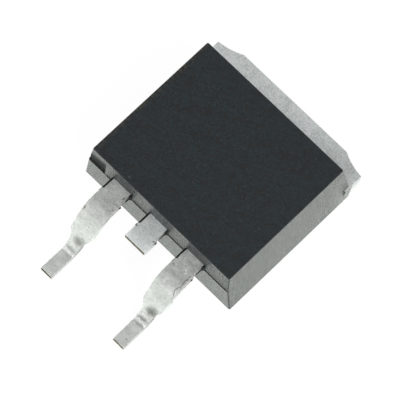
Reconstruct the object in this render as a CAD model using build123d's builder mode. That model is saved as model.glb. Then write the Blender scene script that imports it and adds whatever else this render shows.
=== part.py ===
from build123d import *
from math import radians, tan
import os

# A surface-mount power MOSFET: an epoxy case moulded over a copper leadframe, with the die
# soldered on the heavy drain tab and bonded by aluminium wires to the gate and source leads.
# Millimetres. +Z is up from the board, the leads point to -Y and the tab to +Y.

# Driving dimensions -------------------------------------------------------------------------

# moulded case
case_height = 4.2            # board to top face
case_width = 10.2            # across the sides, at the board
case_length = 8.65           # front parting edge to the back wall, where it meets the tab
side_draft = 5.4             # degrees, one slope from the board to the top face
upper_front_draft = 4.0      # degrees, above the parting line
lower_front_draft = 2.0      # degrees, below the parting line
back_draft = 10.0            # degrees, above the tab
top_edge_radius = 0.06
corner_radius = 0.08         # upright corners
parting_groove = 0.03        # depth of the witness line along the front
gate_scar_length = 1.38      # broken-off mould gate, in from the left side on the parting line
gate_scar_height = 0.7
gate_scar_depth = 0.12
gate_scar_round = 0.15

# leads: thin end of the leadframe strip
lead_pitch = 2.54
lead_thickness = 0.5
lead_height = 2.62           # board to the underside of the leads, level with the parting line
lead_reach = 5.16            # front of the case to the tips of the feet
lead_exit_width = 1.14       # where the leads leave the case
lead_width = 1.32            # past the sheared dambar
dambar_distance = 0.65       # front of the case to the dambar shoulder
shoulder_run = 0.08          # length of the step at the dambar
bend_distance = 1.69         # front of the case to the upper bend
lead_slope = 56.0            # degrees below level, on the way down
bend_radius = 0.45           # both bends, at mid thickness
neck_distance = 2.72         # where the lead starts to narrow
neck_run = 0.32
foot_width = 0.7
stub_reach = 1.62            # cropped centre lead
shoulder_round = 0.12        # outline corners of the leads

# bond posts: inner ends of the gate and source leads
post_inset = 0.45            # front of the case to the widening of the lead
post_length = 1.15
gate_post_width = 2.1
source_post_width = 2.7
post_chamfer = 0.25

# drain tab: thick end of the leadframe strip
tab_reach = 9.88             # front of the case to the back edge of the tab
tab_thickness = 1.27
tab_width = 8.4              # inside the case
pad_width = 7.6              # bare underside, below the locking flange
flange_thickness = 0.6       # locking flange that the epoxy grips
tab_inset = 2.05             # front of the case to the front edge of the tab
pad_inset = 2.45             # front of the case to the front edge of the bare underside
ear_width = 10.09            # across the ears
ear_inset = 8.35             # front of the case to the front of the ears
ear_end = 9.465              # front of the case to the outer corner of the ears
back_edge_width = 7.26       # straight part of the back edge
corner_cut_bow = 0.08        # hollow of the curved cut at each back corner
lock_groove_depth = 0.18     # V groove across the tab, just inside the back wall
lock_groove_inset = 7.75     # front of the case to that groove
riser_slope = 70.0           # degrees, centre lead down to the tab
riser_radius = 0.35          # its two bends, at mid thickness
riser_foot = 0.25            # level run between the riser and the tab

# die, solder and bond wires
die_width = 5.2
die_length = 4.0
die_thickness = 0.22
die_inset = 3.1              # front of the case to the front edge of the die
solder_thickness = 0.06
solder_margin = 0.18         # solder squeezed out past the die
solder_taper = 60.0          # degrees from upright
source_wire_diameter = 0.5
source_wire_count = 2
source_wire_pitch_on_die = 1.5
source_wire_pitch_on_post = 1.2
source_bond_offset = 1.0     # middle of the source bonds from the middle of the die
gate_wire_diameter = 0.15
gate_bond_offset = -2.1      # gate pad from the middle of the die
gate_bond_inset = 0.8        # front edge of the die to the gate bond
source_bond_inset = 2.0      # front edge of the die to the source bonds
post_bond_margin = 0.12      # inner end of the posts to the bonds on them
wire_rise = 0.3              # crown of a wire above its bond on the post
wire_crown_share = 0.6       # how far along its span a wire is highest
wire_bend_share = 0.45       # how much of the shorter run beside it a bend takes up
bond_width_ratio = 1.35      # a wedge bond flattens the wire: its width, over the diameter
bond_height_ratio = 0.55
bond_length_ratio = 1.7

# Places worked out from them ------------------------------------------------------------------

front_y = (lead_reach - tab_reach) / 2       # origin at the middle of the footprint
tip_y = front_y - lead_reach
back_y = front_y + tab_reach
case_back_y = front_y + case_length
ear_y = front_y + ear_inset
parting_height = lead_height
lead_mid_height = lead_height + lead_thickness / 2
lead_top_height = lead_height + lead_thickness
post_end = post_inset + post_length
die_base_height = tab_thickness + solder_thickness
die_top_height = die_base_height + die_thickness
die_front_y = front_y + die_inset

os.makedirs("parts", exist_ok=True)


# Formed leads ---------------------------------------------------------------------------------


def formed_lead(middle_x, run, bend_radii, stations):
    """A stamped and bent strip of the leadframe.

    run is the middle line of the bent strip, as (y, z) points. stations is the stamped
    outline seen from above, as (y, half width) pairs about middle_x.
    """
    right_side = [(middle_x + half, y) for y, half in stations]
    left_side = [(middle_x - half, y) for y, half in reversed(stations)]
    with BuildPart() as strip:
        with BuildSketch(Plane.YZ.offset(middle_x)):
            with BuildLine() as middle_line:
                FilletPolyline(*run, radius=bend_radii)
            trace(middle_line.edges(), line_width=lead_thickness)
        extrude(amount=case_width / 2, both=True)
        with BuildSketch() as outline:
            with BuildLine():
                Polyline(*right_side, *left_side, close=True)
            make_face()
            inner_corners = outline.vertices().filter_by(
                lambda corner: stations[0][0] > corner.Y > stations[-1][0]
            )
            fillet(inner_corners, shoulder_round)
        extrude(amount=case_height, mode=Mode.INTERSECT)
    return strip.part


def outer_stations(reach):
    """Outline of a lead outside the case, from the front face to past the dambar."""
    return [
        (front_y - dambar_distance, lead_exit_width / 2),
        (front_y - dambar_distance - shoulder_run, lead_width / 2),
        (front_y - reach, lead_width / 2),
    ]


def gull_wing_lead(middle_x, post_width):
    """A lead with its bond post inside the case and a soldering foot on the board."""
    foot_height = lead_thickness / 2
    drop_run = (lead_mid_height - foot_height) / tan(radians(lead_slope))
    run = [
        (front_y + post_end, lead_mid_height),
        (front_y - bend_distance, lead_mid_height),
        (front_y - bend_distance - drop_run, foot_height),
        (tip_y, foot_height),
    ]
    post = [
        (front_y + post_end, post_width / 2 - post_chamfer),
        (front_y + post_end - post_chamfer, post_width / 2),
        (front_y + post_inset, post_width / 2),
        (front_y + post_inset, lead_exit_width / 2),
    ]
    foot = [
        (front_y - neck_distance - neck_run, foot_width / 2),
        (tip_y, foot_width / 2),
    ]
    stations = post + outer_stations(neck_distance) + foot
    return formed_lead(middle_x, run, bend_radius, stations)


with BuildPart() as gate_lead:
    add(gull_wing_lead(-lead_pitch, gate_post_width))
gate_lead.part.label = "gate_lead"
export_step(gate_lead.part, "parts/gate_lead.step")

with BuildPart() as source_lead:
    add(gull_wing_lead(lead_pitch, source_post_width))
source_lead.part.label = "source_lead"
export_step(source_lead.part, "parts/source_lead.step")


# Drain tab --------------------------------------------------------------------------------------
# One piece of copper: the heavy plate that carries the die, its ears, and the centre lead, which
# rises from the plate's front edge to the level of the other leads and is cropped short.

riser_base_height = tab_thickness - lead_thickness / 2
riser_run = (lead_mid_height - riser_base_height) / tan(radians(riser_slope))
riser_base_y = front_y + tab_inset - riser_foot
centre_run = [
    (front_y + pad_inset, riser_base_height),
    (riser_base_y, riser_base_height),
    (riser_base_y - riser_run, lead_mid_height),
    (front_y - stub_reach, lead_mid_height),
]
centre_stations = [(front_y + pad_inset, lead_exit_width / 2)] + outer_stations(stub_reach)
centre_lead = formed_lead(0, centre_run, riser_radius, centre_stations)

ear_corner = (ear_width / 2, front_y + ear_end)
back_corner = (back_edge_width / 2, back_y)

with BuildPart() as drain_tab:
    with BuildSketch() as plate_outline:
        with BuildLine() as right_half:
            plate_side = Polyline(
                (0, front_y + tab_inset),
                (tab_width / 2, front_y + tab_inset),
                (tab_width / 2, ear_y),
                (ear_width / 2, ear_y),
                ear_corner,
            )
            corner_cut = SagittaArc(ear_corner, back_corner, corner_cut_bow)
            back_edge = Line(back_corner, (0, back_y))
            mirror(about=Plane.YZ)
        make_face()
    extrude(amount=tab_thickness)

    # the locking flange: the underside is stepped in along the front and the sides
    with BuildSketch() as stepped_rim:
        with Locations((0, front_y + tab_inset)):
            Rectangle(tab_width, ear_inset - tab_inset, align=(Align.CENTER, Align.MIN))
        with Locations((0, front_y + pad_inset)):
            Rectangle(
                pad_width,
                ear_inset - pad_inset,
                align=(Align.CENTER, Align.MIN),
                mode=Mode.SUBTRACT,
            )
    extrude(amount=tab_thickness - flange_thickness, mode=Mode.SUBTRACT)

    # the V groove that keeps moisture from creeping in under the back wall
    with BuildSketch(Plane.YZ):
        with BuildLine():
            Polyline(
                (front_y + lock_groove_inset - lock_groove_depth, tab_thickness),
                (front_y + lock_groove_inset + lock_groove_depth, tab_thickness),
                (front_y + lock_groove_inset, tab_thickness - lock_groove_depth),
                close=True,
            )
        make_face()
    extrude(amount=tab_width / 2, both=True, mode=Mode.SUBTRACT)

    add(centre_lead)
drain_tab.part.label = "drain_tab"
export_step(drain_tab.part, "parts/drain_tab.step")


# Die and solder -----------------------------------------------------------------------------------

with BuildPart() as die_solder:
    with BuildSketch(Plane.XY.offset(tab_thickness)):
        with Locations((0, die_front_y + die_length / 2)):
            Rectangle(die_width + 2 * solder_margin, die_length + 2 * solder_margin)
    extrude(amount=solder_thickness, taper=solder_taper)
die_solder.part.label = "die_solder"
export_step(die_solder.part, "parts/die_solder.step")

with BuildPart() as silicon_die:
    with BuildSketch(Plane.XY.offset(die_base_height)):
        with Locations((0, die_front_y + die_length / 2)):
            Rectangle(die_width, die_length)
    extrude(amount=die_thickness)
silicon_die.part.label = "silicon_die"
export_step(silicon_die.part, "parts/silicon_die.step")


# Bond wires ---------------------------------------------------------------------------------------


def bond_wire(die_x, bond_inset, post_x, diameter):
    """A round wire looped from the die up to a post, with a flattened wedge bond at each end.

    bond_inset is from the front edge of the die to the bond there.
    """
    bond_length = bond_length_ratio * diameter
    start = Vector(die_x, die_front_y + bond_inset, die_top_height)
    end = Vector(post_x, front_y + post_end - post_bond_margin - bond_length, lead_top_height)
    level_span = Vector(end.X - start.X, end.Y - start.Y, 0)
    heading = level_span.normalized()
    span = level_span.length
    die_line = die_top_height + diameter / 2
    post_line = lead_top_height + diameter / 2
    loop_plane = Plane(
        origin=(start.X, start.Y, 0), x_dir=heading, z_dir=heading.cross(Vector(0, 0, 1))
    )
    loop = [
        (0, die_line),
        (bond_length, die_line),
        (span * wire_crown_share, post_line + wire_rise),
        (span - bond_length, post_line),
        (span, post_line),
    ]
    with BuildPart() as wire:
        with BuildLine(loop_plane) as path:
            FilletPolyline(*loop, radius=largest_bends(loop))
        with BuildSketch(Plane(origin=path.line @ 0, z_dir=path.line % 0)):
            Circle(diameter / 2)
        sweep()
        for bond, towards in ((start, heading), (end, -heading)):
            with BuildSketch(Plane(origin=bond, x_dir=towards, z_dir=(0, 0, 1))):
                Rectangle(
                    bond_length, bond_width_ratio * diameter, align=(Align.MIN, Align.CENTER)
                )
            extrude(amount=bond_height_ratio * diameter)
    return wire.part


def largest_bends(points):
    """Bend radii that use most of the shorter run beside each inner point."""
    radii = []
    for before, here, after in zip(points, points[1:], points[2:]):
        run_in = Vector(*here) - Vector(*before)
        run_out = Vector(*after) - Vector(*here)
        half_turn = radians(run_in.get_angle(run_out)) / 2
        radii.append(wire_bend_share * min(run_in.length, run_out.length) / tan(half_turn))
    return radii


with BuildPart() as gate_wire:
    add(bond_wire(gate_bond_offset, gate_bond_inset, -lead_pitch, gate_wire_diameter))
gate_wire.part.label = "gate_wire"
export_step(gate_wire.part, "parts/gate_wire.step")

source_wires = []
for index in range(source_wire_count):
    step = index - (source_wire_count - 1) / 2
    with BuildPart() as source_wire:
        add(
            bond_wire(
                source_bond_offset + step * source_wire_pitch_on_die,
                source_bond_inset,
                lead_pitch + step * source_wire_pitch_on_post,
                source_wire_diameter,
            )
        )
    source_wire.part.label = f"source_wire_{index + 1}"
    export_step(source_wire.part, f"parts/source_wire_{index + 1}.step")
    source_wires.append(source_wire.part)


# Moulded case -------------------------------------------------------------------------------------
# The case is where its side profile and its end profile meet. Its hollows are those of the
# leadframe, die and wires that it was moulded around.

lower_lean = parting_height * tan(radians(lower_front_draft))
upper_lean = (case_height - parting_height) * tan(radians(upper_front_draft))
back_lean = (case_height - tab_thickness) * tan(radians(back_draft))


def is_upright(edge):
    """An edge of the case that runs from low to high, at a corner."""
    rise = edge.bounding_box().size
    return rise.Z > 2 * max(rise.X, rise.Y)


with BuildPart() as gate_scar:
    with BuildSketch(Plane.YZ.offset(-case_width)):
        with BuildLine():
            Polyline(
                (front_y - gate_scar_depth, parting_height),
                (front_y + gate_scar_depth, parting_height),
                (front_y + upper_lean, parting_height + gate_scar_height),
                (front_y - gate_scar_depth, parting_height + gate_scar_height),
                close=True,
            )
        make_face()
    extrude(amount=case_width / 2 + gate_scar_length)
    scar_end = gate_scar.edges().filter_by(Axis.Y).group_by(Axis.X)[-1]
    fillet(scar_end, gate_scar_round)

with BuildPart() as molded_case:
    with BuildSketch(Plane.YZ) as side_profile:
        with BuildLine():
            Polyline(
                (front_y + lower_lean, 0),
                (front_y, parting_height),
                (front_y + upper_lean, case_height),
                (case_back_y - back_lean, case_height),
                (case_back_y, tab_thickness),
                (ear_y, tab_thickness),
                (ear_y, 0),
                close=True,
            )
        make_face()
    extrude(amount=case_width / 2, both=True)
    with BuildSketch(Plane.XZ.offset(-back_y)) as end_profile:
        Trapezoid(case_width, case_height, 90 - side_draft, align=(Align.CENTER, Align.MIN))
    extrude(amount=lead_reach + tab_reach, mode=Mode.INTERSECT)

    # upright corners, then the rim of the top face
    fillet(molded_case.edges().filter_by(is_upright), corner_radius)
    fillet(molded_case.faces().sort_by(Axis.Z)[-1].edges(), top_edge_radius)

    # witness line of the mould along the front, and the scar of the gate above it
    with BuildSketch(Plane.YZ):
        with BuildLine():
            Polyline(
                (front_y, parting_height - parting_groove),
                (front_y, parting_height + parting_groove),
                (front_y + parting_groove, parting_height),
                close=True,
            )
        make_face()
    extrude(amount=case_width, both=True, mode=Mode.SUBTRACT)
    add(gate_scar.part, mode=Mode.SUBTRACT)

    # the pieces it was moulded around
    inserts = [drain_tab, gate_lead, source_lead, die_solder, silicon_die, gate_wire]
    add([insert.part for insert in inserts] + source_wires, mode=Mode.SUBTRACT)
molded_case.part.label = "molded_case"
export_step(molded_case.part, "parts/molded_case.step")
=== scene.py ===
# %% [markdown]
# # A surface-mount power MOSFET, dressed
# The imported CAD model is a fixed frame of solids. This script gives it its looks: it models the
# formed leads, the drain tab and the marks of moulding and trimming, paints every piece with a
# procedural finish, and sets up a camera and soft studio light.
# Everything is in metres, with +Z up from the board, the leads towards -Y and the tab towards +Y.

# %% Load the frame
from math import cos, radians, sin, tan

import bmesh
import bpy
from mathutils import Matrix, Vector


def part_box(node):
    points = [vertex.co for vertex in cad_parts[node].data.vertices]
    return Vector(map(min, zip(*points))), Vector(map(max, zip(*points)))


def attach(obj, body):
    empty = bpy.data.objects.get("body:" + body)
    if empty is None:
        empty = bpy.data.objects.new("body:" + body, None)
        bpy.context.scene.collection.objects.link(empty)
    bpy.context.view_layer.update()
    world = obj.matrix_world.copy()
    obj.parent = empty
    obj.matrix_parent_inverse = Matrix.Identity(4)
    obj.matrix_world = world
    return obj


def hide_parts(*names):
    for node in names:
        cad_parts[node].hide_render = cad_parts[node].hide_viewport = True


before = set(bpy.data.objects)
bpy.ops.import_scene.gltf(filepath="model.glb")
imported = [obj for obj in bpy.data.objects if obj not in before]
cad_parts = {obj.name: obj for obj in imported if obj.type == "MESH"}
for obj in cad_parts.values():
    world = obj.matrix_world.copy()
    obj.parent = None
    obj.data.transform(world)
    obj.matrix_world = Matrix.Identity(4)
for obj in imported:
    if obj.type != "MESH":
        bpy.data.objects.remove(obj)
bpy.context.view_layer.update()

mm = 0.001


def in_mm(lengths):
    """Lengths given in metres, rounded in millimetres, for printing."""
    return [round(length / mm, 3) for length in lengths]


print("nodes:", sorted(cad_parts))

# %% [markdown]
# ## Where things are
# Places are read from the boxes of the CAD nodes, so that the dressed pieces sit where the frame
# has them. The front is the wall that the leads come out of. The sizes that no box gives, such as
# where the leads bend and how much the walls of the case lean, are named here once.

# %% Places read from the frame, and sizes of the stamped strip
case_low, case_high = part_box("molded_case")
tab_low, tab_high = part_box("drain_tab")
gate_low, gate_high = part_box("gate_lead")
source_low, source_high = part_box("source_lead")

front_y = case_low.y
case_top = case_high.z
lead_top = gate_high.z
lead_pitch = (source_low.x + source_high.x) / 2
half_exit = 0.57 * mm
lead_thickness = 0.5 * mm
parting_height = lead_top - lead_thickness

exit_width = 2 * half_exit    # where a lead leaves the case
lead_width = 1.32 * mm        # past the sheared dambar
dambar_distance = 0.65 * mm   # front wall to the dambar
shoulder_run = 0.08 * mm
bend_distance = 1.69 * mm     # front wall to the upper bend
slope = radians(56)
bend_radius = 0.7 * mm        # at mid thickness
heel_radius = 0.6 * mm
neck_distance = 2.58 * mm
neck_run = 0.40 * mm
neck_width = 1.26 * mm        # where the neck begins
foot_width = 0.7 * mm
post_inset = 0.45 * mm
post_chamfer = 0.25 * mm
post_step = 0.01 * mm         # run of the sharp step from the post to the exit
stub_tip_y = front_y - 1.62 * mm

side_draft = radians(5.4)     # side walls of the case
upper_draft = radians(4.0)    # its front, above the parting line
lower_draft = radians(2.0)    # and below
scar_length = 1.38 * mm       # broken gate, in from the left side
scar_height = 0.7 * mm
ear_front = front_y + 8.35 * mm
ear_side = tab_high.x
print("front wall, lead top and lead pitch:", in_mm((front_y, lead_top, lead_pitch)), "mm")
print("tab from", in_mm(tab_low), "to", in_mm(tab_high), "mm")

# %% [markdown]
# ## Camera
# A long lens from above, in front and to the right, so that the top face is nearly square and the
# front and right walls are thin slivers. The camera's three axes are worked out from azimuth,
# elevation and roll, which is easier to reason about than three Euler angles.

# %% Camera
azimuth, elevation, roll = radians(35.64), radians(71.40), radians(9.633)
camera_distance = 156.25 * mm
look_at = Vector((0.06 * mm, front_y + 3.128 * mm, 0))

back = Vector((sin(azimuth) * cos(elevation), -cos(azimuth) * cos(elevation), sin(elevation)))
level_right = Vector((cos(azimuth), sin(azimuth), 0))
level_up = back.cross(level_right)
camera_right = level_right * cos(roll) + level_up * sin(roll)
camera_up = level_up * cos(roll) - level_right * sin(roll)

camera_data = bpy.data.cameras.new("studio_camera")
camera_data.sensor_width = 36
camera_data.lens = 279.0
camera_data.clip_start = 0.01
camera_data.clip_end = 10
camera = bpy.data.objects.new("studio_camera", camera_data)
bpy.context.scene.collection.objects.link(camera)
turn = Matrix((camera_right, camera_up, back)).transposed().to_4x4()
camera.matrix_world = Matrix.Translation(look_at + back * camera_distance) @ turn
bpy.context.scene.camera = camera
bpy.context.scene.view_settings.view_transform = "Standard"
print("camera at", in_mm(camera.matrix_world.translation), "mm")

# %% [markdown]
# ## Shader arithmetic
# A finish is a graph of nodes. Written as Python expressions it stays readable: `Signal` wraps one
# socket, so that `grain * 0.2 + 0.4` adds the Math nodes it says, and `Finish.add` makes any other
# node from its type, its settings and the values or links of its sockets.


# %% Signal and Finish
class Signal:
    """A socket of a finish's node tree. Arithmetic on it adds Math nodes."""

    def __init__(self, finish, socket):
        self.finish = finish
        self.socket = socket

    def math(self, operation, first, second):
        return self.finish.add("ShaderNodeMath", {"operation": operation}, {0: first, 1: second})

    def __add__(self, other):
        return self.math("ADD", self, other)

    def __radd__(self, other):
        return self.math("ADD", other, self)

    def __sub__(self, other):
        return self.math("SUBTRACT", self, other)

    def __rsub__(self, other):
        return self.math("SUBTRACT", other, self)

    def __mul__(self, other):
        return self.math("MULTIPLY", self, other)

    def __rmul__(self, other):
        return self.math("MULTIPLY", other, self)

    def __abs__(self):
        return self.math("ABSOLUTE", self, 0)

    def most(self, other):
        return self.math("MAXIMUM", self, other)


class Finish:
    """A material or world, and the calls that add nodes to it."""

    def __init__(self, name, tree=None):
        if tree is None:
            self.material = bpy.data.materials.new(name)
            self.material.use_nodes = True
            tree = self.material.node_tree
        self.tree = tree
        self.tree.nodes.clear()

    def add(self, kind, settings=None, inputs=None, output=0):
        """Add a node, give it its settings, fill its sockets, and return one of its outputs."""
        node = self.tree.nodes.new(kind)
        for key, value in (settings or {}).items():
            setattr(node, key, value)
        for key, value in (inputs or {}).items():
            if isinstance(value, Signal):
                self.tree.links.new(value.socket, node.inputs[key])
            else:
                node.inputs[key].default_value = value
        return Signal(self, node.outputs[output]) if node.outputs else None

    def place(self):
        """Object coordinates in millimetres, whole and as x, y and z."""
        metres = self.add("ShaderNodeTexCoord", output="Object")
        whole = self.stretch(metres, (1 / mm,) * 3)
        return (whole, *self.split(whole))

    def split(self, vector):
        parts = self.add("ShaderNodeSeparateXYZ", inputs={0: vector})
        return tuple(Signal(self, socket) for socket in parts.socket.node.outputs)

    def vector(self, operation, first, second):
        return self.add("ShaderNodeVectorMath", {"operation": operation}, {0: first, 1: second})

    def stretch(self, vector, factors):
        return self.vector("MULTIPLY", vector, factors)

    def noise(self, vector, scale, detail=2.0, roughness=0.5):
        return self.add(
            "ShaderNodeTexNoise",
            inputs={"Vector": vector, "Scale": scale, "Detail": detail, "Roughness": roughness},
        )

    def rise(self, signal, low, high):
        """0 below low, 1 above high and smooth between. With low above high it falls."""
        return self.add(
            "ShaderNodeMapRange",
            {"interpolation_type": "SMOOTHSTEP"},
            {"Value": signal, "From Min": low, "From Max": high},
        )

    def window(self, signal, low, high, soft):
        """1 from low to high, falling to 0 over a soft margin on both sides."""
        return self.rise(signal, low - soft, low) * self.rise(signal, high + soft, high)

    def warp(self, place, scale, amount):
        """The place shifted by noise, so that what is drawn with it gets a ragged outline."""
        cloud = self.add("ShaderNodeTexNoise", inputs={"Vector": place, "Scale": scale}, output=1)
        shift = self.stretch(self.vector("SUBTRACT", cloud, (0.5, 0.5, 0.5)), (amount,) * 3)
        return self.vector("ADD", place, shift)

    def spot(self, place, centre, size):
        """1 near a point of the plan, falling to 0 on an ellipse with these half axes."""
        away = self.vector("SUBTRACT", place, (*centre, 0))
        away = self.stretch(away, (1 / size[0], 1 / size[1], 0))
        away = self.add("ShaderNodeVectorMath", {"operation": "LENGTH"}, {0: away}, 1)
        return self.rise(away, 1.0, 0.25)

    def mix(self, mask, start, end):
        """Colour start where the mask is 0, colour end where it is 1."""
        return self.add(
            "ShaderNodeMix",
            {"data_type": "RGBA"},
            {0: mask, 6: self.rgba(start), 7: self.rgba(end)},
            2,
        )

    def shade(self, colour, amount):
        """The colour with its brightness multiplied by a number."""
        grey = self.add("ShaderNodeCombineXYZ", inputs={0: amount, 1: amount, 2: amount})
        return self.add(
            "ShaderNodeMix",
            {"data_type": "RGBA", "blend_type": "MULTIPLY"},
            {0: 1.0, 6: self.rgba(colour), 7: grey},
            2,
        )

    def rgba(self, colour):
        return colour if isinstance(colour, Signal) else (*colour, 1)

    def rays(self):
        """Masks of the camera's own rays, and of the rays that shiny or clear surfaces send on."""
        kinds = self.add("ShaderNodeLightPath").socket.node.outputs
        glossy = Signal(self, kinds["Is Glossy Ray"])
        clear = Signal(self, kinds["Is Transmission Ray"])
        return Signal(self, kinds["Is Camera Ray"]), glossy.most(clear)

    def bump(self, height, distance, strength=1.0, normal=None):
        inputs = {"Height": height, "Distance": distance, "Strength": strength}
        if normal is not None:
            inputs["Normal"] = normal
        return self.add("ShaderNodeBump", inputs=inputs)

    def surface(self, colour, roughness, normal, metallic=0.0, ior=1.5):
        """End the graph in a Principled surface."""
        shader = self.add(
            "ShaderNodeBsdfPrincipled",
            inputs={
                "Base Color": self.rgba(colour),
                "Roughness": roughness,
                "Metallic": metallic,
                "IOR": ior,
                "Normal": normal,
            },
        )
        self.add("ShaderNodeOutputMaterial", inputs={"Surface": shader})
        print(self.material.name, "has", len(self.tree.nodes), "nodes")
        return self.material


# %% [markdown]
# ## Studio
# The object lies on a pale table that runs on into a white backdrop, under a grey ceiling with two
# large soft lamps. Polished surfaces show what they face: the moulded walls lean back a little and
# mirror the white table at a grazing angle, while the top face only sees the grey ceiling. That is
# what makes the walls look much paler than the top, though they are the same epoxy.
# The white of the backdrop is only there for camera, glossy and transmission rays, so that it
# doesn't flood the object with light.

# %% World: white towards the horizon, grey overhead
horizon_glow = 1.0
ceiling_glow = 0.44
fill_light = 0.55
ceiling_rise = (0.12, 0.58)   # heights of the view ray, from level at 0 to overhead at 1

world = bpy.data.worlds.new("studio")
world.use_nodes = True
bpy.context.scene.world = world
sky = Finish("studio", world.node_tree)
direction = sky.add("ShaderNodeTexCoord", output="Generated")
_, _, height = sky.split(direction)
to_camera, to_gloss = sky.rays()
ceiling = sky.rise(height, *ceiling_rise)
seen = horizon_glow + ceiling * (ceiling_glow - horizon_glow)
strength = to_camera + to_gloss * seen + (1 - to_camera.most(to_gloss)) * fill_light
shine = sky.add("ShaderNodeBackground", inputs={"Color": (1, 1, 1, 1), "Strength": strength})
sky.add("ShaderNodeOutputWorld", inputs={"Surface": shine})
print("world glow: horizon", horizon_glow, "ceiling", ceiling_glow, "fill", fill_light)


# %% Two soft lamps
def soft_lamp(name, place, size, power):
    """A square lamp that faces the object."""
    data = bpy.data.lights.new(name, "AREA")
    data.shape = "SQUARE"
    data.size = size
    data.energy = power
    lamp = bpy.data.objects.new(name, data)
    bpy.context.scene.collection.objects.link(lamp)
    lamp.location = place
    lamp.rotation_euler = Vector(place).to_track_quat("Z", "Y").to_euler()
    print(name, "at", in_mm(place), "mm,", power, "W")


soft_lamp("lamp_right", place=(0.30, -0.10, 0.26), size=0.22, power=0.9)
soft_lamp("lamp_left", place=(-0.28, -0.16, 0.26), size=0.22, power=0.5)

# %% [markdown]
# The table is emissive for the rays that should find it white, and plain diffuse paint for all the
# light that bounces about. A thin share of paint under the glow keeps the object's soft shadow.

# %% Table
table_white = 0.93            # what the camera sees
table_glow = 1.62             # what the walls and the flanks of the leads mirror
table_tint = (0.955, 1.0, 0.945)
bpy.ops.object.select_all(action="DESELECT")
bpy.ops.mesh.primitive_plane_add(size=0.8, location=(0, 0, -0.002 * mm))
table = bpy.context.object
table.name = "table"
pale = Finish("pale_table")
to_camera, to_gloss = pale.rays()
tint = pale.mix(to_gloss, (1, 1, 1), table_tint)
paint = pale.add("ShaderNodeBsdfDiffuse", inputs={"Color": (0.8, 0.8, 0.8, 1)})
thin_paint = pale.add("ShaderNodeBsdfDiffuse", inputs={"Color": (0.1, 0.1, 0.1, 1)})
strength = to_camera * table_white + to_gloss * table_glow
glow = pale.add("ShaderNodeEmission", inputs={"Color": tint, "Strength": strength})
lit_paint = pale.add("ShaderNodeAddShader", inputs={0: thin_paint, 1: glow})
shiny_or_seen = to_camera.most(to_gloss)
top_coat = pale.add("ShaderNodeMixShader", inputs={0: shiny_or_seen, 1: paint, 2: lit_paint})
pale.add("ShaderNodeOutputMaterial", inputs={"Surface": top_coat})
table.data.materials.append(pale.material)
print(table.name, "is", in_mm(table.dimensions), "mm, and shines", table_glow, "at the walls")


# %% [markdown]
# ## Working by hand in edit mode
# The pieces are modelled with the same operators as by hand. An operator acts on all that is
# selected, so each step starts from a clean selection, and vertices are then picked in code by
# where they are. Every piece starts as a cube or a strip of faces that is stretched to its size,
# and is left with its place in its mesh, as the nodes of the frame are.


# %% Selecting
def select_only(piece):
    bpy.ops.object.select_all(action="DESELECT")
    bpy.context.view_layer.objects.active = piece
    piece.select_set(True)


def open_for_editing(piece):
    """Select the piece alone and enter edit mode with nothing selected in it."""
    select_only(piece)
    bpy.ops.object.mode_set(mode="EDIT")
    bpy.ops.mesh.select_mode(type="VERT")
    bpy.ops.mesh.select_all(action="DESELECT")


def stop_editing():
    bpy.ops.object.mode_set(mode="OBJECT")


def pick(piece, wanted, facing=None):
    """Select the vertices whose place passes the test, and the edges and faces they make up.

    With facing, only those whose normal leans that way.
    """
    bpy.ops.mesh.select_all(action="DESELECT")
    mesh = bmesh.from_edit_mesh(piece.data)
    for vertex in mesh.verts:
        leans = facing is None or vertex.normal.dot(facing) > 0.3
        vertex.select = leans and wanted(vertex.co)
    mesh.select_flush(True)
    bmesh.update_edit_mesh(piece.data)


def extrude(step):
    """Extrude what is selected, and move what is new by a step."""
    bpy.ops.mesh.extrude_region_move(TRANSFORM_OT_translate={"value": step})


def scale_about(centre, ratios):
    bpy.ops.transform.resize(value=ratios, center_override=centre)


# %% Starting, finishing and copying pieces
def apply_modifier(piece, kind, **settings):
    """Add a modifier, set it and apply it."""
    select_only(piece)
    modifier = piece.modifiers.new(kind.lower(), kind)
    for key, value in settings.items():
        setattr(modifier, key, value)
    bpy.ops.object.modifier_apply(modifier=modifier.name)


def stretch_new(name, size):
    """Name the primitive that was just added, give it its size and apply its place."""
    piece = bpy.context.object
    piece.name = name
    bpy.ops.object.mode_set(mode="EDIT")
    bpy.ops.transform.resize(value=size)
    stop_editing()
    bpy.ops.object.transform_apply(location=True, rotation=True, scale=True)
    return piece


def make_block(name, low, high):
    """A cube stretched to fill the box between two corners."""
    bpy.ops.object.select_all(action="DESELECT")
    bpy.ops.mesh.primitive_cube_add(size=1, location=(low + high) / 2)
    return stretch_new(name, high - low)


def make_strip(name, cells, middle, width, run):
    """A level strip across the object, one face deep and this many cells wide."""
    bpy.ops.object.select_all(action="DESELECT")
    bpy.ops.mesh.primitive_grid_add(
        x_subdivisions=cells, y_subdivisions=1, size=1, location=middle
    )
    return stretch_new(name, (width, run, 1))


def report(piece, state="modelled"):
    faces = len(piece.data.polygons)
    print(piece.name, state, in_mm(piece.dimensions), "mm,", faces, "faces")


def break_up(piece, cuts, jitter, seed):
    """Subdivide a piece and shift its vertices at random, as on a broken or torn surface."""
    open_for_editing(piece)
    bpy.ops.mesh.select_all(action="SELECT")
    bpy.ops.mesh.subdivide(number_cuts=cuts)
    bpy.ops.transform.vertex_random(offset=jitter, uniform=0.0, normal=0.0, seed=seed)
    bpy.ops.mesh.normals_make_consistent(inside=False)
    stop_editing()


def copy_to(piece, name, shift):
    """A copy with its own mesh, moved, with its place applied."""
    select_only(piece)
    bpy.ops.object.duplicate(linked=False)
    copy = bpy.context.object
    copy.name = name
    bpy.ops.transform.translate(value=shift)
    bpy.ops.object.transform_apply(location=True, rotation=True, scale=True)
    return copy


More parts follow.
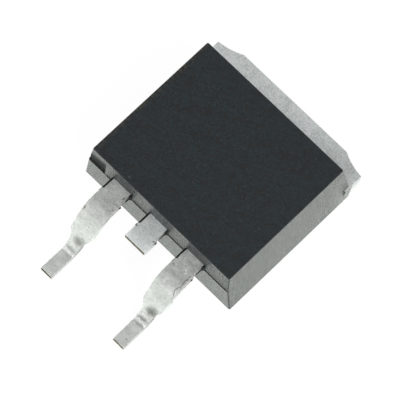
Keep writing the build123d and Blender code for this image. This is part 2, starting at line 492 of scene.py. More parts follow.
# %% [markdown]
# ## Formed leads
# A real lead is a strip of copper, stamped to its outline while flat and then bent over a tool.
# The model is made in the same order: a row of edges is drawn out along the strip, narrowed or
# widened at each station, spun round the two bends, and the finished ribbon gets its thickness.
# A swept profile would be quicker, but it can't change its width on the way.


# %% Draw out a ribbon
def extrude_row(step, middle_x, ratio=1.0):
    """Extrude the selected row of edges by a step, and scale the new row across the lead."""
    extrude(step)
    if ratio != 1.0:
        scale_about((middle_x, 0, 0), (ratio, 1, 1))


def draw_out(heading, length, steps, middle_x, start_width, end_width):
    """Extrude in equal steps, easing from one width to the other."""
    width = start_width
    for index in range(steps):
        share = (index + 1) / steps
        eased = share * share * (3 - 2 * share)
        goal = start_width + (end_width - start_width) * eased
        extrude_row(heading * (length / steps), middle_x, goal / width)
        width = goal


def bend(piece, start, radius, turn_up, steps):
    """Spin the selected row about an axis across the lead, then select the last row made."""
    side = -1 if turn_up else 1
    heading = slope if turn_up else 0.0
    centre = start + Vector((0, -sin(heading), cos(heading))) * (-side * radius)
    bpy.ops.mesh.spin(steps=steps, angle=-side * slope, center=centre, axis=(1, 0, 0))
    end = centre + Matrix.Rotation(side * slope, 3, "X") @ (start - centre)
    pick(piece, lambda co: (co.yz - end.yz).length < 0.001 * mm)


def ribbon_lead(name, low, high):
    """The middle surface of a lead, from the bond post inside the case to the tip of its foot."""
    middle_x = (low.x + high.x) / 2
    post_width = high.x - low.x
    post_run = (high.y - front_y) - post_inset - post_chamfer
    middle_z = lead_top - lead_thickness / 2
    level = Vector((0, -1, 0))
    down = Vector((0, -cos(slope), -sin(slope)))
    half_bend = bend_radius * tan(slope / 2)
    half_heel = heel_radius * tan(slope / 2)

    first_row_y = high.y - post_chamfer / 2
    piece = make_strip(name, 10, (middle_x, first_row_y, middle_z), post_width, post_chamfer)
    open_for_editing(piece)
    pick(piece, lambda co: co.y > first_row_y)
    chamfered = (post_width - 2 * post_chamfer) / post_width
    scale_about((middle_x, 0, 0), (chamfered, 1, 1))
    pick(piece, lambda co: co.y < first_row_y)

    to_dambar = post_inset + dambar_distance - post_step
    draw_out(level, post_run, 3, middle_x, post_width, post_width)
    draw_out(level, post_step, 1, middle_x, post_width, exit_width)
    draw_out(level, to_dambar, 10, middle_x, exit_width, exit_width)
    draw_out(level, shoulder_run, 3, middle_x, exit_width, lead_width)
    to_bend = bend_distance - half_bend - dambar_distance - shoulder_run
    draw_out(level, to_bend, 5, middle_x, lead_width, lead_width)

    bend_start = Vector((middle_x, front_y - bend_distance + half_bend, middle_z))
    bend(piece, bend_start, bend_radius, False, 14)
    to_neck = (neck_distance - bend_distance) / cos(slope) - half_bend
    draw_out(down, to_neck, 8, middle_x, lead_width, neck_width)
    draw_out(down, neck_run / cos(slope), 9, middle_x, neck_width, foot_width)
    drop = (middle_z - lead_thickness / 2) / sin(slope)
    to_heel = drop - half_heel - (neck_distance + neck_run - bend_distance) / cos(slope)
    draw_out(down, to_heel, 5, middle_x, foot_width, foot_width)

    corner_y = front_y - bend_distance - drop * cos(slope)
    heel_start = Vector((middle_x, corner_y, lead_thickness / 2)) - down * half_heel
    bend(piece, heel_start, heel_radius, True, 12)
    draw_out(level, corner_y - half_heel - low.y, 11, middle_x, foot_width, foot_width)
    stop_editing()
    report(piece, "as a ribbon")
    return piece


gate_strip = ribbon_lead("formed_gate_lead", gate_low, gate_high)
source_strip = ribbon_lead("formed_source_lead", source_low, source_high)


# %% Thickness, soft edges and more rows for later work
def bevel_edges(piece, width, segments):
    """Round every edge that is sharper than 50 degrees."""
    limits = {"limit_method": "ANGLE", "angle_limit": radians(50)}
    apply_modifier(piece, "BEVEL", width=width, segments=segments, **limits)


for strip in (gate_strip, source_strip):
    apply_modifier(strip, "SOLIDIFY", thickness=lead_thickness, offset=0, use_even_offset=True)
    bevel_edges(strip, 0.035 * mm, 2)
    apply_modifier(strip, "SUBSURF", subdivision_type="SIMPLE", levels=2, render_levels=2)
    report(strip, "solid")

# %% [markdown]
# ## Signs of forming
# No stamped lead is perfect. Its faces are slightly uneven, its sheared flanks are torn, the
# forming tool leaves small dents across the heel, and one edge is rolled over where the strip was
# dragged through the die. Evenness is broken with two textures that push the surface along its
# normals, held back by vertex groups where the lead is inside the case and under the foot.
# Dents are pushed in by hand, with proportional editing.


# %% Uneven faces and torn flanks
def weigh(piece, name, weight_of):
    """Fill a vertex group with a weight worked out from each vertex."""
    group = piece.vertex_groups.new(name=name)
    for vertex in piece.data.vertices:
        group.add([vertex.index], weight_of(vertex), "REPLACE")


def outside(vertex):
    """0 inside the case and under the foot, 1 on the rest of the lead."""
    from_case = min(1, max(0, (front_y - 0.1 * mm - vertex.co.y) / (0.3 * mm)))
    return from_case * min(1, vertex.co.z / (0.2 * mm))


def clouds(name, size):
    texture = bpy.data.textures.new(name, "CLOUDS")
    texture.noise_scale = size
    texture.noise_depth = 2
    return texture


def flank(vertex):
    """The same, and only where the surface faces sideways."""
    return outside(vertex) * max(0, abs(vertex.normal.x) - 0.3)


def push(piece, texture, strength, group, mid_level=0.5):
    """Push the surface along its normals by a texture, as far as a vertex group lets it."""
    reach = {"strength": strength, "mid_level": mid_level, "vertex_group": group}
    apply_modifier(piece, "DISPLACE", texture=texture, **reach)


broad = clouds("broad_unevenness", 0.7 * mm)
torn = clouds("torn_flank", 0.16 * mm)
for strip in (gate_strip, source_strip):
    weigh(strip, "faces", outside)
    weigh(strip, "flanks", flank)
    push(strip, broad, 0.045 * mm, "faces")
    push(strip, torn, 0.10 * mm, "flanks")
    report(strip, "uneven")


# %% Dents across the heel
upward = Vector((0, -0.4, 1)).normalized()
soft_margin = {
    "use_proportional_edit": True,
    "proportional_edit_falloff": "SMOOTH",
    "proportional_size": 0.10 * mm,
}
# where along the lead each dent is and how deep, in millimetres; the tool's ridge is negative
heel_dents = ((-5.66, 0.014), (-5.82, -0.010), (-5.97, 0.013), (-6.13, 0.006))


def on_dent(co, middle_x, dent_y):
    """True on a short line across the lead, a little askew."""
    across = co.x - middle_x
    return abs(across) < 0.27 * mm and abs(co.y + across * 0.15 - dent_y) < 0.02 * mm


for strip, middle_x in ((gate_strip, -lead_pitch), (source_strip, lead_pitch)):
    open_for_editing(strip)
    for dent_y, depth in heel_dents:
        pick(strip, lambda co: on_dent(co, middle_x, dent_y * mm), upward)
        bpy.ops.transform.shrink_fatten(value=-depth * mm, **soft_margin)
    stop_editing()
    print(strip.name, "has", len(heel_dents), "dents")

# %% A rolled edge on the source lead
# where along the lead each step of the roll is and how far it reaches in, in millimetres
rolled_steps = ((-3.45, 0.04), (-3.75, 0.07), (-4.05, 0.05), (-4.35, 0.10), (-4.65, 0.06))
edge_x = lead_pitch + lead_width / 2


def on_roll(co, step_y, inset):
    return co.x > edge_x - inset and abs(co.y - step_y) < 0.15 * mm


open_for_editing(source_strip)
for step_y, inset in rolled_steps:
    pick(source_strip, lambda co: on_roll(co, step_y * mm, inset * mm), upward)
    bpy.ops.transform.translate(value=(0, 0, -0.016 * mm), **soft_margin)
stop_editing()

for strip in (gate_strip, source_strip):
    select_only(strip)
    bpy.ops.object.shade_smooth_by_angle(angle=radians(40))
    report(strip, "finished")

# %% [markdown]
# ## Drain tab
# The tab's outline, ears, flange and cropped centre lead are already right in the frame. What is
# missing is the small radius that stamping leaves on every edge, which catches the light. The
# frame's own mesh is never edited, so a copy is made, its loose triangles are merged into whole
# faces, and the edges are bevelled.


# %% Copy a CAD node and merge it
def merged_copy(node, name):
    """A copy of a CAD node with its own mesh, its triangles joined into flat faces."""
    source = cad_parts[node]
    piece = bpy.data.objects.new(name, source.data.copy())
    bpy.context.scene.collection.objects.link(piece)
    open_for_editing(piece)
    bpy.ops.mesh.select_all(action="SELECT")
    bpy.ops.mesh.remove_doubles(threshold=0.0005 * mm)
    bpy.ops.mesh.dissolve_limited(angle_limit=radians(1))
    stop_editing()
    return piece


tab = merged_copy("drain_tab", "plated_drain_tab")
bevel_edges(tab, 0.03 * mm, 3)
bpy.ops.object.shade_smooth_by_angle(angle=radians(35))
report(tab)

# %% [markdown]
# ## Webs and chips at the sheared dambar
# While the epoxy is injected, a bar of the leadframe dams the gap between the leads. Epoxy fills
# the corners in front of the case up to that bar, and when the bar is sheared off, a brittle web
# stays on one side of each lead and a broken chip with a thin tail on the other.
# Each is modelled once on the centre lead, and its copies are broken up differently.

# %% Web on the left of a lead
into_lead = 0.002 * mm
into_case = 0.01 * mm
web_width = 0.13 * mm
web_tail = (-half_exit - 0.11 * mm, 0, lead_top)


def move(piece, wanted, by):
    """Move the vertices whose place passes the test."""
    pick(piece, wanted)
    bpy.ops.transform.translate(value=by)


def draw_taper(run, taper, centre):
    """Extrude the picked end forwards and shrink it towards a point."""
    extrude((0, -run, 0))
    scale_about(centre, taper)


web = make_block(
    "dambar_web_centre",
    Vector((-half_exit - web_width, front_y - dambar_distance, parting_height)),
    Vector((-half_exit + into_lead, front_y + into_case, lead_top - 0.015 * mm)),
)
open_for_editing(web)
move(web, lambda co: co.y > front_y and co.z > parting_height + 0.1 * mm, (0, 0, -0.10 * mm))
pick(web, lambda co: co.y < front_y - dambar_distance / 2)
scale_about((-half_exit, 0, 0), (0.8, 1, 1))
draw_taper(0.12 * mm, (0.7, 1, 0.8), web_tail)
draw_taper(0.16 * mm, (0.3, 1, 0.5), web_tail)
stop_editing()
report(web)

# %% Chip and tail on the right of a lead
chip_width = 0.10 * mm
chip_run = 0.09 * mm
chip_bottom = parting_height - 0.02 * mm
root_of_tail = (half_exit, 0, chip_bottom)
chip = make_block(
    "dambar_chip_centre",
    Vector((half_exit - into_lead, front_y - chip_run, chip_bottom)),
    Vector((half_exit + chip_width, front_y + into_case, lead_top - 0.12 * mm)),
)
open_for_editing(chip)
pick(chip, lambda co: co.y < front_y - chip_run / 2)
draw_taper(0.04 * mm, (0.4, 1, 0.25), root_of_tail)
draw_taper(0.34 * mm, (0.6, 1, 0.4), root_of_tail)
stop_editing()
report(chip)

# %% Copies for the outer leads
to_gate, to_source = (-lead_pitch, 0, 0), (lead_pitch, 0, 0)
gate_web = copy_to(web, "dambar_web_gate", to_gate)
source_web = copy_to(web, "dambar_web_source", to_source)
gate_chip = copy_to(chip, "dambar_chip_gate", to_gate)
source_chip = copy_to(chip, "dambar_chip_source", to_source)

gate_chip_root = (half_exit - lead_pitch, front_y, 0)
open_for_editing(gate_chip)
bpy.ops.mesh.select_all(action="SELECT")
scale_about(gate_chip_root, (1.4, 0.7, 1))
stop_editing()
report(gate_chip, "shortened")
flashes = [web, chip, gate_web, source_web, gate_chip, source_chip]
for seed, piece in enumerate(flashes, start=3):
    break_up(piece, 4, 0.008 * mm, seed)

# %% [markdown]
# ## Flash along the parting line
# The two halves of the mould never close perfectly, and a hairline of epoxy is pressed out between
# them. It shows as a thin dark line along the front, broken where the leads come out. It is a
# narrow strip with a ragged outer edge. Its faces where the leads come out are deleted before it
# gets its thickness.

# %% Parting flash
flash_left = case_low.x + parting_height * tan(side_draft) + scar_length - 0.13 * mm
flash_right = case_high.x - parting_height * tan(side_draft) - 0.07 * mm
flash_middle = Vector(
    ((flash_left + flash_right) / 2, front_y - 0.005 * mm, parting_height - 0.012 * mm)
)


def make_ragged(piece, middle_y, jitter, seed):
    """Shift the vertices of a strip's front edge at random."""
    pick(piece, lambda co: co.y < middle_y)
    bpy.ops.transform.vertex_random(offset=jitter, uniform=0.0, normal=0.0, seed=seed)


parting_flash = make_strip(
    "parting_flash", 150, flash_middle, flash_right - flash_left, 0.04 * mm
)
open_for_editing(parting_flash)
make_ragged(parting_flash, flash_middle.y, 0.006 * mm, 5)
for middle_x in (-lead_pitch, 0, lead_pitch):
    pick(parting_flash, lambda co: abs(co.x - middle_x) < half_exit + 0.03 * mm)
    bpy.ops.mesh.delete(type="VERT")
stop_editing()
apply_modifier(parting_flash, "SOLIDIFY", thickness=0.02 * mm, offset=0)
flashes.append(parting_flash)
report(parting_flash)

# %% [markdown]
# ## Broken gate
# Epoxy enters the mould through a narrow gate at the left end of the front, just above the parting
# line. The plug that is left there is snapped off, and the break is rough and dull. The frame has
# the hollow of the break: the broken surface itself is a sheet drawn out over its ledge and up its
# back, then roughened with a fine texture.

# %% Rough surface of the break
scar_top = parting_height + scar_height - 0.04 * mm
scar_left = case_low.x + scar_top * tan(side_draft) + 0.02 * mm
scar_right = case_low.x + scar_length - 0.03 * mm
scar_start = Vector(
    ((scar_left + scar_right) / 2, front_y + 0.02 * mm, parting_height + 0.012 * mm)
)
ledge_step = (0, 0.018 * mm, 0.002 * mm)
back_step = (0, -0.0022 * mm, 0.029 * mm)

scar = make_strip("gate_break", 56, scar_start, scar_right - scar_left, 0.02 * mm)
open_for_editing(scar)
pick(scar, lambda co: co.y > scar_start.y)
for step in (ledge_step,) * 4 + (back_step,) * 22:
    extrude(step)
bpy.ops.mesh.select_all(action="SELECT")
bpy.ops.mesh.normals_make_consistent(inside=False)
stop_editing()


def mid_scar(vertex):
    """0 at the rim of the break, 1 inside it."""
    from_ends = min(vertex.co.x - scar_left, scar_right - vertex.co.x) / (0.1 * mm)
    from_top = (scar_top - 0.04 * mm - vertex.co.z) / (0.2 * mm)
    return max(0, min(1, from_ends, from_top))


weigh(scar, "break", mid_scar)
fracture = clouds("fracture", 0.09 * mm)
push(scar, fracture, 0.09 * mm, "break", mid_level=0.55)
apply_modifier(scar, "SOLIDIFY", thickness=0.012 * mm, offset=0)
report(scar)

# %% [markdown]
# ## Epoxy bled over the ears
# The ears of the tab pass through the side walls of the mould, and a film of epoxy runs back over
# each flank. It rises out of the wall on a short ramp and thins out towards its upper end.

# %% Film on the right ear, and its mirror on the left
film_top = 1.12 * mm
film_run = 0.30 * mm
ramp_run = 0.12 * mm
film_overlap = 0.01 * mm


def upper(co):
    return co.z > film_top - 0.12 * mm


def on_ramp(co):
    return co.y < ear_front - 0.05 * mm


film = make_block(
    "ear_film_right",
    Vector((ear_side - film_overlap, ear_front - film_overlap, film_overlap)),
    Vector((case_high.x - 0.004 * mm, ear_front + film_run, film_top)),
)
open_for_editing(film)
move(film, lambda co: upper(co) and co.x > ear_side, (-0.042 * mm, 0, 0))
move(film, lambda co: upper(co) and co.y > ear_front + film_run / 2, (0, 0.16 * mm, 0))
pick(film, lambda co: co.y < ear_front)
extrude((0, -ramp_run, 0))
move(film, lambda co: co.y < ear_front and co.x < ear_side, (-0.06 * mm, 0, 0))
move(film, lambda co: on_ramp(co) and upper(co), (-0.030 * mm, 0, -0.40 * mm))
move(film, lambda co: on_ramp(co) and not upper(co), (-0.004 * mm, 0, 0))
stop_editing()
mirrored_film = copy_to(film, "ear_film_left", (0, 0, 0))
bpy.ops.object.mode_set(mode="EDIT")
bpy.ops.mesh.select_all(action="SELECT")
bpy.ops.transform.mirror(constraint_axis=(True, False, False), center_override=(0, 0, 0))
bpy.ops.mesh.normals_make_consistent(inside=False)
stop_editing()
for seed, piece in enumerate((film, mirrored_film)):
    break_up(piece, 3, 0.002 * mm, seed + 20)
    report(piece)

# %% [markdown]
# ## Burrs
# Shearing the dambar leaves small dark burrs on the corners of the leads. One is modelled on the
# right corner of the cropped lead, and its copies go where the others stand.

# %% Burr, and its copies
burr_x = 0.63 * mm
burr_y = front_y - 0.85 * mm
burr_top = lead_top - 0.10 * mm
burr = make_block(
    "burr_stub_right",
    Vector((burr_x, burr_y - 0.06 * mm, burr_top - 0.18 * mm)),
    Vector((burr_x + 0.07 * mm, burr_y + 0.06 * mm, burr_top)),
)
open_for_editing(burr)
pick(burr, lambda co: co.y < burr_y)
burr_point = (burr_x + 0.01 * mm, 0, burr_top - 0.02 * mm)
scale_about(burr_point, (0.5, 1, 0.6))
stop_editing()
burrs = [
    burr,
    copy_to(burr, "burr_stub_left", (-1.33 * mm, 0, 0.08 * mm)),
    copy_to(burr, "burr_gate_right", (-lead_pitch, 0.06 * mm, -0.12 * mm)),
    copy_to(burr, "burr_source_right", (lead_pitch, -0.06 * mm, -0.10 * mm)),
]
for seed, piece in enumerate(burrs, start=40):
    break_up(piece, 2, 0.007 * mm, seed)
    report(piece)


# %% [markdown]
# ## Lips along the sheared tips
# The blade that crops the leads to length breaks through the last of the metal and leaves a thin
# ragged lip across each tip. Like the parting flash, it is a strip with a disturbed edge.


# %% Shear lips
def shear_lip(name, middle, width, seed):
    """A thin strip across a tip, with a ragged outer edge."""
    lip = make_strip(name, 26, middle, width, 0.06 * mm)
    open_for_editing(lip)
    make_ragged(lip, middle.y, 0.016 * mm, seed)
    stop_editing()
    apply_modifier(lip, "SOLIDIFY", thickness=0.04 * mm, offset=0)
    report(lip)
    return lip


lip_reach = Vector((0, -0.004 * mm, 0))
foot_lip_z = lead_thickness - 0.15 * mm
gate_tip = Vector((-lead_pitch, gate_low.y, foot_lip_z))
source_tip = Vector((lead_pitch, source_low.y, foot_lip_z))
stub_tip = Vector((0, stub_tip_y, lead_top - 0.16 * mm))
lips = [
    shear_lip("shear_lip_gate", gate_tip + lip_reach, foot_width, 51),
    shear_lip("shear_lip_source", source_tip + lip_reach, foot_width, 52),
    shear_lip("shear_lip_stub", stub_tip + lip_reach, lead_width, 53),
]

# %% [markdown]
# ## Moulded epoxy
# The epoxy is black, with a fine matt mould texture on top, where wiping has left faint streaks,
# and a smoother skin on the walls, where the mould dragged along it as it opened. It shows dull
# marks where it was disturbed: along the parting line and the worn corner, and round the broken
# gate.
# Beside the ears the side walls are painted paler and a little shinier, as painted light that
# evens out the shade the ears throw into what the walls mirror. All of it is one graph, because
# the case is one piece, and each mark is a mask that is worked out from where the surface is, in
# millimetres.


# %% Masks over the case
def case_marks(finish, x, y, z, grain, top):
    """How dull the epoxy is, a mask of the front above the parting line, and one of the painted
    light beside the ears.
    """
    parting_z, front = parting_height / mm, front_y / mm
    below, above = parting_z - z, z - parting_z
    at_front = finish.rise(y, front + 0.4, front + 0.2)

    parting = finish.window(z, parting_z - 0.02, parting_z + 0.03, 0.02)
    parting = parting * finish.rise(y, front + 0.3, front + 0.15)
    board_edge = finish.rise(z, 0.10, 0.0)
    front_lean = (below * tan(lower_draft)).most(above * tan(upper_draft))
    outwards = x - y + z * tan(side_draft) + front_lean
    corner_reach = (case_high.x - front_y) / mm
    corner = finish.rise(outwards, corner_reach - 0.07, corner_reach - 0.03) * (1 - top)

    gate_end = (case_low.x + scar_length) / mm
    blush = finish.rise(above - (x - gate_end) * 0.25, 1.45, 0.75)
    blush = blush * finish.rise(below, 0.16, 0.04)
    blush = blush * finish.rise(x + grain * 0.15, gate_end + 0.15, gate_end - 0.03) * at_front
    dull = (parting * 0.6).most(corner * 0.6).most(board_edge * 0.5).most(blush)

    # painted light: a mask of the side walls beside the ears, which are painted paler
    painted_light_by_ear = finish.rise(x * x, 21.0, 23.0) * finish.rise(y, 4.9, 5.9) * finish.rise(z, 3.8, 2.4)
    return dull, finish.rise(above, 0.0, 0.3) * at_front, painted_light_by_ear


# %% Moulded epoxy
def moulded_epoxy():
    finish = Finish("moulded_epoxy")
    place, x, y, z = finish.place()
    top = finish.rise(z, case_top / mm - 0.08, case_top / mm - 0.01)
    grain = finish.noise(place, 8, 4, 0.7)
    fine_grain = finish.noise(place, 20, 2, 0.6)
    cloud = finish.noise(place, 2.4, 3, 0.6)
    drag = finish.noise(finish.stretch(place, (7, 7, 0.5)), 1, 3, 0.6)
    filler = finish.rise(finish.noise(place, 12, 1, 0.5), 0.64, 0.74)
    streaks = finish.add(
        "ShaderNodeCombineXYZ", inputs={0: x * 0.30 + y * 0.15, 1: y * 2.0 - x * 1.0}
    )
    wiped = finish.noise(streaks, 1, 3, 0.6)
    dull, upper_front, painted_light_by_ear = case_marks(finish, x, y, z, grain, top)

    tone = finish.rise(grain, 0.30, 0.70) * 2.4 + cloud * 1.0 + wiped * 1.6 - 1.50
    colour = finish.shade((0.0030, 0.0082, 0.0106), tone)
    colour = finish.mix(filler * top * 0.5, colour, (0.040, 0.043, 0.045))
    left_rim = finish.rise(x, case_low.x / mm + 0.75, case_low.x / mm + 0.40)
    left_rim = left_rim * finish.rise(grain, 0.45, 0.62) * top
    colour = finish.mix(left_rim * 0.9, colour, (0.046, 0.038, 0.022))
    speck = finish.spot(place, (-2.40, -2.02), (0.07, 0.06)) * top
    colour = finish.mix(speck * 0.7, colour, (0.08, 0.09, 0.10))
    # painted light: the side walls beside the ears are painted paler, to even out the shade in
    # what they mirror
    colour = finish.mix(painted_light_by_ear * 0.7, colour, (0.055, 0.057, 0.054))

    satin = 0.05 + drag * 0.22 + fine_grain * 0.28 + (2.2 - y) * 0.0065
    satin = satin - upper_front * 0.06 - painted_light_by_ear * 0.10
    roughness = satin + (0.45 + grain * 0.5 - satin) * top
    roughness = roughness + (1.0 - roughness) * dull
    height = grain * 1.7 * top + (drag * 1.0 + fine_grain * 1.7) * (1 - top)
    return finish.surface(colour, roughness, finish.bump(height, 0.03 * mm))


epoxy = moulded_epoxy()


# %% Broken epoxy
def broken_epoxy():
    """Dull and dark, as the fillers in the epoxy scatter the light on a fresh break."""
    finish = Finish("broken_epoxy")
    place = finish.place()[0]
    grain = finish.noise(place, 16, 3, 0.7)
    colour = finish.shade((0.022, 0.023, 0.022), 0.25 + finish.rise(grain, 0.3, 0.7) * 1.5)
    return finish.surface(colour, 0.95, finish.bump(grain, 0.02 * mm, 0.9), ior=1.4)


rough_epoxy = broken_epoxy()

# %% [markdown]
# ## Tin plate
# The leadframe is copper under a pale grey, slightly grainy coat of tin. Painted shade falls on
# its flanks, on the back edges and right rear of the tab, and over the upper bends; the necks and
# heels get painted shade and painted highlights, as do two small dents, and the feet are painted
# paler. There are also a few stains and specks. The coat is missing where the leads were cut to
# length afterwards: there the copper is bare and has a dark smear. The leads and the tab share one
# function and differ in their settings, and the tab's grey is painted paler than the leads'.


# %% Steps of the tin finish
def plate_tone(finish, place, z, grain, fine_grain, patch, calm, flat):
    """How bright the coat is: grainy and patchy, and calmer on the feet. The feet are also painted
    paler, and the lead a little darker from 1.6 to 2.7 mm up, as painted light.
    """
    blotch = finish.rise(finish.noise(place, 4.5, 3, 0.6), 0.35, 0.65)
    if flat:
        tone = 0.93 + (grain * 0.6 + fine_grain * 1.4 - 1) * 0.30 + patch * 0.10
    else:
        tone = 0.91 + (grain + fine_grain - 1) * (0.20 - calm * 0.10) + patch * 0.10
        # the calm share also paints the feet a little paler, as painted light
        tone = tone + (blotch - 0.5) * 0.07 + calm * 0.03
    # painted light: the feet painted paler, and the lead painted a little darker from 1.6 to 2.7
    # mm up
    return tone + finish.rise(z, 0.9, 0.45) * 0.19 - finish.window(z, 1.6, 2.7, 0.3) * 0.03


def painted_flank_shade(finish, facing, z, grain, flat):
    """A mask of the faces that get painted shade, the flanks and on a flat piece its back edges,
    and how much darker they are painted.
    """
    edge = finish.rise(abs(facing[0]), 0.6, 0.9)
    if flat:
        edge = (edge * 0.6).most(finish.rise(facing[1], 0.25, 0.6))
        return edge, 0.48 + grain * 0.2
    edge = edge * (1 - finish.window(z, 1.1, 2.3, 0.35))
    return edge, 0.26 + grain * 0.18 + finish.window(z, 0.4, 0.6, 0.3) * 0.2


def stains_and_painted_light(finish, place, colour, marks):
    """Darken the colour at each mark, as a stain or as painted shade, or lighten it as a painted
    highlight where the depth is negative, all with a ragged outline.
    """
    ragged = finish.warp(place, 5, 0.16)
    for centre, size, depth in marks:
        # a negative depth paints a highlight
        tint = (0.09, 0.09, 0.08) if depth > 0 else (0.95, 0.95, 0.93)
        colour = finish.mix(finish.spot(ragged, centre, size) * abs(depth), colour, tint)
    return colour


def roll_line(finish, place, x, y):
    """A mask of the painted shade along the wandering crest where the source lead's edge was
    rolled over.
    """
    wander = finish.rise(finish.noise(finish.stretch(place, (0, 1, 0)), 1.6, 2, 0.5), 0.3, 0.7)
    inset = x - edge_x / mm + 0.02 + wander * 0.17
    return finish.window(inset, -0.012, 0.012, 0.016) * finish.window(y, -4.40, -3.45, 0.25)


def cut_end(finish, facing, y, z, grain, tip_y, smeared):
    """A mask of the cut end, and its colour: bare copper with a dark smear."""
    cut = finish.rise(facing[1], -0.75, -0.92)
    cut = cut * finish.rise(y, tip_y / mm + 0.12, tip_y / mm + 0.06)
    low, high = smeared
    smear = finish.window(z + grain * 0.10, low / mm + 0.05, high / mm + 0.05, 0.05)
    return cut, finish.mix(smear, (0.52, 0.49, 0.45), (0.16, 0.15, 0.13))


# %% Tin plate
def tin_plate(name, base, tip_y, smeared, marks, flat=False, rolled=False):
    """Matt tin over copper.

    tip_y is where the strip was cut, and smeared the two heights that the cut is darkest between.
    Marks are stains or painted shade of a plan centre, half axes and depth; a negative depth is a
    painted highlight. A flat piece gets painted shade on its back edges and flanks, a lead on
    flanks.
    """
    finish = Finish(name)
    place, x, y, z = finish.place()
    facing = finish.split(finish.add("ShaderNodeTexCoord", output="Normal"))
    grain = finish.rise(finish.noise(place, 10, 3, 0.65), 0.30, 0.70)
    fine_grain = finish.rise(finish.noise(place, 24, 2, 0.6), 0.25, 0.75)
    mottle = finish.noise(place, 1.7, 4, 0.6)
    patch = finish.rise(mottle, 0.38, 0.62)
    calm = finish.rise(z, 0.7, 0.5)

    tone = plate_tone(finish, place, z, grain, fine_grain, patch, calm, flat)
    # painted shade on the flanks, and on the tab along its back edges
    flank_shade_mask, depth = painted_flank_shade(finish, facing, z, grain, flat)
    warmed = (base[0] * 1.03, base[1] * 0.97, base[2] * 1.02)
    colour = finish.shade(finish.mix(flank_shade_mask, base, warmed), tone * (1 - flank_shade_mask * depth))
    colour = stains_and_painted_light(finish, place, colour, marks)
    if rolled:
        # painted shade along the crest of the rolled edge
        colour = finish.mix(roll_line(finish, place, x, y) * 0.8, colour, (0.10, 0.10, 0.09))
    cut, cut_colour = cut_end(finish, facing, y, z, grain, tip_y, smeared)
    colour = finish.mix(cut, colour, cut_colour)

    uneven = finish.bump(mottle, 0.03 * mm, 0.4)
    fine = finish.bump((grain + fine_grain) * (1 - calm * 0.5), 0.006 * mm, 0.8, uneven)
    return finish.surface(colour, 0.42 + mottle * 0.16, fine, metallic=1.0)


# %% Painted shade and highlights on the bends, and stains and specks
def painted_bend_shading(middle_x, heel):
    """Painted shade over the upper bend, and painted shade and painted highlights over the neck
    and across the heel's dents, most of them by a factor.
    """
    # painted shade, and painted highlights where the depth is negative
    return (
        ((middle_x, -3.92), (1.3, 0.48), 0.20),
        ((middle_x, -4.60), (1.3, 0.46), 0.17),
        ((middle_x + 0.22, -5.38), (0.48, 0.20), 0.45 * heel),
        ((middle_x + 0.10, -5.47), (0.42, 0.17), 0.42 * heel),
        ((middle_x, -5.68), (0.38, 0.06), -0.4),
        ((middle_x, -5.84), (0.50, 0.10), 0.42 * heel),
        ((middle_x - 0.02, -5.97), (0.36, 0.06), -0.6 / heel),
        ((middle_x + 0.04, -6.12), (0.50, 0.10), 0.26 * heel),
    )


# plan centre and half axes in millimetres, then depth
gate_marks = (
    *painted_bend_shading(-lead_pitch / mm, 0.85),
    ((-3.13, -4.36), (0.05, 0.13), 0.8),
    ((-2.02, -3.22), (0.22, 0.10), 0.30),
    ((-2.60, -3.45), (0.45, 0.12), 0.12),
    ((-1.96, -3.55), (0.10, 0.12), 0.35),
    ((-2.03, -2.74), (0.06, 0.15), 0.8),
)
source_marks = (
    *painted_bend_shading(lead_pitch / mm, 1.2),
    ((2.06, -3.33), (0.07, 0.06), 0.8),
    ((2.67, -7.09), (0.06, 0.05), 0.8),
    ((3.10, -3.25), (0.08, 0.10), 0.5),
    # painted highlights on two small dents near the exit
    ((2.72, -3.17), (0.03, 0.12), -0.9),
    ((2.79, -3.27), (0.03, 0.10), -0.9),
)
tab_marks = (
    ((0.57, -3.25), (0.08, 0.07), 0.75),
    ((-0.60, -3.22), (0.05, 0.05), 0.7),
    # darker over the whole stub
    ((0, -3.2), (1.6, 2.0), 0.16),
    # painted shade over the right rear of the tab
    ((4.6, 7.2), (3.4, 3.0), 0.20),
)

# %% Three coats of tin
lead_grey = (0.653, 0.668, 0.652)
# painted light: the tab has the same tin as the leads, painted paler to make up for the lamp light
# that the leads catch and it doesn't
tab_grey_painted_paler = (0.860, 0.900, 0.893)
foot_smear = (lead_thickness - 0.24 * mm, lead_thickness - 0.10 * mm)
stub_smear = (lead_top - 0.32 * mm, lead_top - 0.08 * mm)
gate_tin = tin_plate("tin_on_gate", lead_grey, gate_low.y, foot_smear, gate_marks)
source_tin = tin_plate(
    "tin_on_source", lead_grey, source_low.y, foot_smear, source_marks, rolled=True
)
tab_tin = tin_plate("tin_on_tab", tab_grey_painted_paler, stub_tip_y, stub_smear, tab_marks, flat=True)


# %% Torn metal of the burrs and lips
def torn_metal(name, base):
    finish = Finish(name)
    place = finish.place()[0]
    grain = finish.noise(place, 20, 3, 0.6)
    colour = finish.shade(base, 0.4 + grain)
    return finish.surface(colour, 0.8, finish.bump(grain, 0.01 * mm, 0.8), metallic=1.0)


torn_burr = torn_metal("torn_burr", (0.045, 0.042, 0.038))
torn_lip = torn_metal("torn_lip", (0.13, 0.12, 0.10))

# %% [markdown]
# ## Hidden pieces
# The die, its solder and the bond wires are sealed in the case, but they are real pieces that a
# cut-away would show, so they get their own finishes. The die's top is aluminium: one large source
# pad and a small gate pad, with a dark passivated border round them.


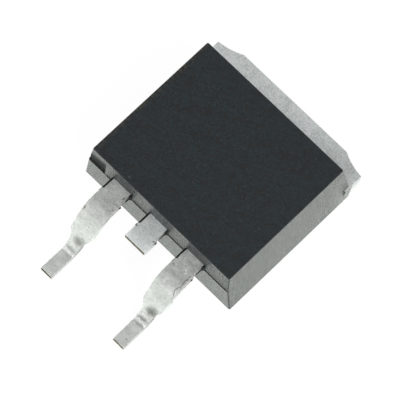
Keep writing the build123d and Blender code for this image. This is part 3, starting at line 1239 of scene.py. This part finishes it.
# %% Silicon, solder and wire
def die_silicon(low, high):
    finish = Finish("die_silicon")
    place, x, y, z = finish.place()
    grain = finish.noise(place, 15, 3, 0.6)
    top = finish.rise(z, high.z / mm - 0.02, high.z / mm - 0.005)
    left, right = low.x / mm, high.x / mm
    near, far = low.y / mm, high.y / mm
    source_pad = finish.window(x, left + 1.3, right - 0.25, 0.02)
    source_pad = source_pad * finish.window(y, near + 0.25, far - 0.25, 0.02)
    gate_pad = finish.window(x, left + 0.2, left + 1.05, 0.02)
    gate_pad = gate_pad * finish.window(y, near + 0.4, near + 1.25, 0.02)
    pads = source_pad.most(gate_pad) * top
    colour = finish.shade((0.045, 0.055, 0.065), 0.7 + grain * 0.6)
    colour = finish.mix(pads, colour, finish.shade((0.80, 0.80, 0.79), 0.8 + grain * 0.3))
    roughness = 0.25 + pads * 0.2 + grain * 0.1
    return finish.surface(colour, roughness, finish.bump(grain, 0.002 * mm, 0.5), metallic=pads)


def solder():
    finish = Finish("die_attach_solder")
    place = finish.place()[0]
    flow = finish.noise(place, 3, 3, 0.5)
    grain = finish.noise(place, 18, 2, 0.6)
    colour = finish.shade((0.52, 0.53, 0.54), 0.7 + flow * 0.3 + grain * 0.3)
    fine = finish.bump(flow, 0.02 * mm, 0.5)
    return finish.surface(colour, 0.3 + flow * 0.2, fine, metallic=1.0)


def aluminium_wire():
    finish = Finish("aluminium_wire")
    place = finish.place()[0]
    streaks = finish.noise(finish.stretch(place, (12, 1.5, 12)), 1, 3, 0.6)
    colour = finish.shade((0.86, 0.87, 0.88), 0.75 + streaks * 0.4)
    fine = finish.bump(streaks, 0.004 * mm, 0.6)
    return finish.surface(colour, 0.25 + streaks * 0.15, fine, metallic=1.0)


# %% [markdown]
# ## Every finish on its pieces
# A CAD node that is shown keeps its mesh and only takes a new material. The CAD nodes that dressed
# pieces stand in for are hidden, and the dressed pieces ride on the root body.


# %% Finishes on their pieces
def coat(piece, material):
    piece.data.materials.clear()
    piece.data.materials.append(material)


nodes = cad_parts
wires = [nodes[name] for name in ("gate_wire", "source_wire_1", "source_wire_2")]
coats = (
    (epoxy, (nodes["molded_case"], film, mirrored_film)),
    (rough_epoxy, (*flashes, scar)),
    (gate_tin, (gate_strip,)),
    (source_tin, (source_strip,)),
    (tab_tin, (tab,)),
    (torn_burr, burrs),
    (torn_lip, lips),
    (die_silicon(*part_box("silicon_die")), (nodes["silicon_die"],)),
    (solder(), (nodes["die_solder"],)),
    (aluminium_wire(), wires),
)
for material, pieces in coats:
    for piece in pieces:
        coat(piece, material)
    print(material.name, "on", [piece.name for piece in pieces])

# %% Rides and hidden nodes
for piece, node in ((gate_strip, "gate_lead"), (source_strip, "source_lead"), (tab, "drain_tab")):
    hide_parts(node)
for piece in (gate_strip, source_strip, tab, *burrs, *lips):
    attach(piece, "root")
for piece in (*flashes, scar, film, mirrored_film):
    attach(piece, "root")
